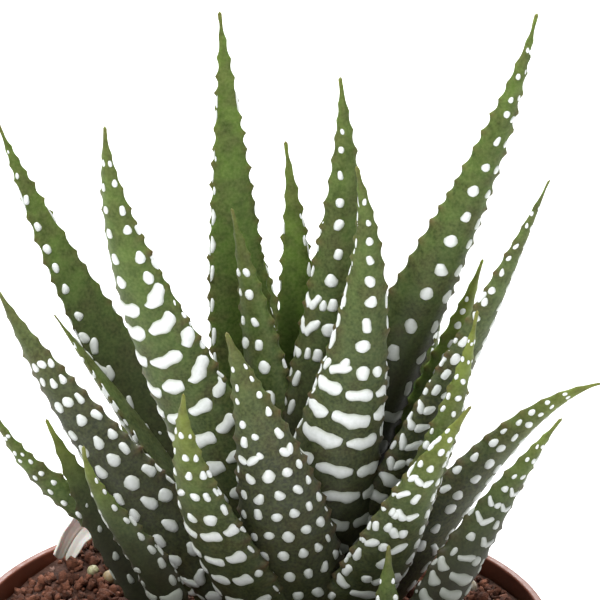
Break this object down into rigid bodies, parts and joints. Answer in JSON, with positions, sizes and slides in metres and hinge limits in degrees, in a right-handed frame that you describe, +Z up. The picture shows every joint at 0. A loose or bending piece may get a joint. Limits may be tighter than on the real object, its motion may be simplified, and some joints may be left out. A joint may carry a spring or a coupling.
{
  "type": "potted haworthia",
  "caption": "Zebra haworthia with a tall rosette and a pup on each side, pointed toothed leaves with raised white bands, in a thin plastic nursery pot of soil",
  "frame": {"origin": "centre of the flat underside of the pot", "axes": "+Z up through the pot's axis; +Y to the back of the plant, +X to its right as seen from the front"},
  "size_m": [0.0915, 0.085, 0.169],
  "materials": {
    "leaf": "satin, fleshy",
    "stem": "matt, fibrous",
    "bead": "satin",
    "dead_leaf": "matt, papery",
    "soil": "matt, crumbly",
    "pot": "satin, moulded"
  },
  "bodies": {
    "root": {"main_stem": "stem", "left_pup_stem": "stem", "right_pup_stem": "stem", "fertiliser_bead_1": "bead", "fertiliser_bead_2": "bead", "fertiliser_bead_3": "bead", "fertiliser_bead_4": "bead", "main_leaf_01": "leaf", "main_leaf_02": "leaf", "main_leaf_03": "leaf", "main_leaf_04": "leaf", "main_leaf_05": "leaf", "main_leaf_06": "leaf", "main_leaf_07": "leaf", "main_leaf_08": "leaf", "main_leaf_09": "leaf", "main_leaf_10": "leaf", "main_leaf_11": "leaf", "main_leaf_12": "leaf", "main_leaf_13": "leaf", "main_leaf_14": "leaf", "main_leaf_15": "leaf", "main_leaf_16": "leaf", "main_leaf_17": "leaf", "main_leaf_18": "leaf", "main_leaf_19": "leaf", "main_leaf_20": "leaf", "main_leaf_21": "leaf", "main_leaf_22": "leaf", "main_leaf_23": "leaf", "main_leaf_24": "leaf", "main_leaf_25": "leaf", "main_leaf_26": "leaf", "main_leaf_27": "leaf", "main_leaf_28": "leaf", "main_leaf_29": "leaf", "left_pup_leaf_01": "leaf", "left_pup_leaf_02": "leaf", "left_pup_leaf_03": "leaf", "left_pup_leaf_04": "leaf", "right_pup_leaf_01": "leaf", "right_pup_leaf_02": "leaf", "right_pup_leaf_03": "leaf", "right_pup_leaf_04": "leaf", "right_pup_leaf_05": "leaf", "dead_leaf": "dead_leaf", "soil": "soil", "pot": "pot"}
  },
  "joints": []
}
